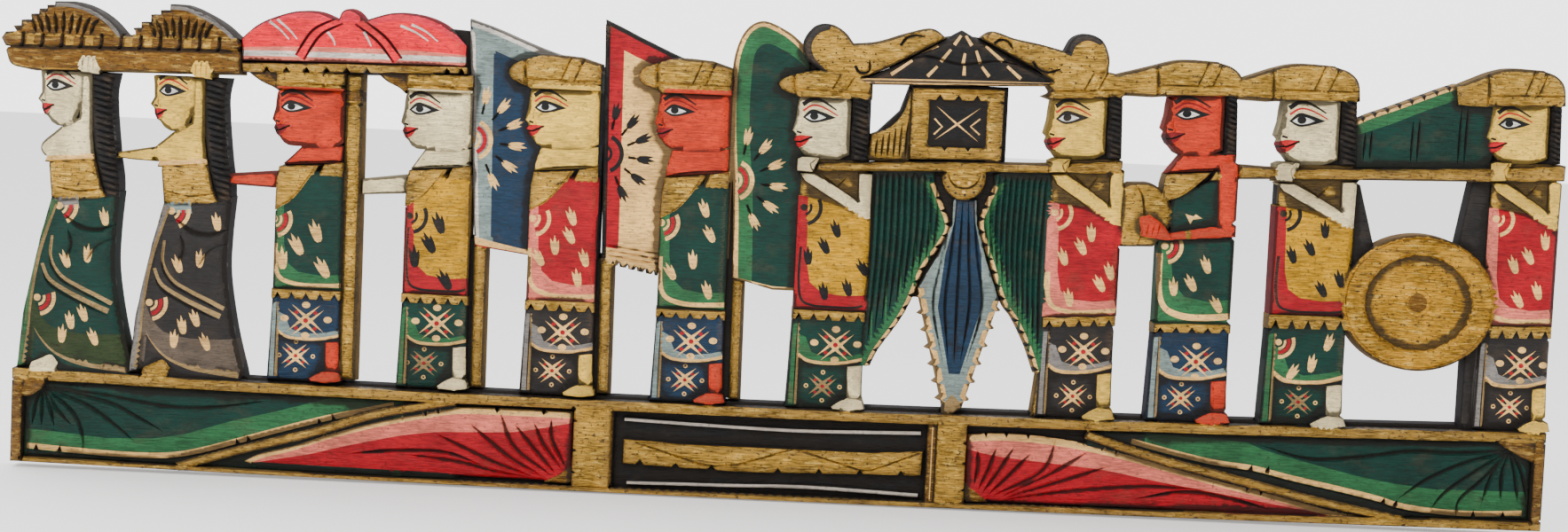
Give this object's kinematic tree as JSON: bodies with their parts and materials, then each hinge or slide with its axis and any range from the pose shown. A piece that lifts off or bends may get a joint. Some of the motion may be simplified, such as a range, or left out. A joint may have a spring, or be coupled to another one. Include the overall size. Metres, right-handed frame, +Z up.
{
  "type": "carved wall panel",
  "caption": "Long pierced wooden wall relief of a procession with umbrella, flags, palanquin and gong on a framed base, gilded and painted.",
  "frame": {"origin": "on the flat back, at the middle of the base's length and 28 mm above its lower edge at the ends", "axes": "+X to the right along the base as seen from the front, -Y out of the wall towards the viewer, +Z up"},
  "size_m": [0.995, 0.02, 0.3075],
  "materials": {
    "carved_panel": "gold paint over carved wood, with black, red, green, blue and cream paint rubbed thin on the high edges; bare brown wood behind"
  },
  "bodies": {
    "root": {"carved_panel": "carved_panel"}
  },
  "joints": []
}
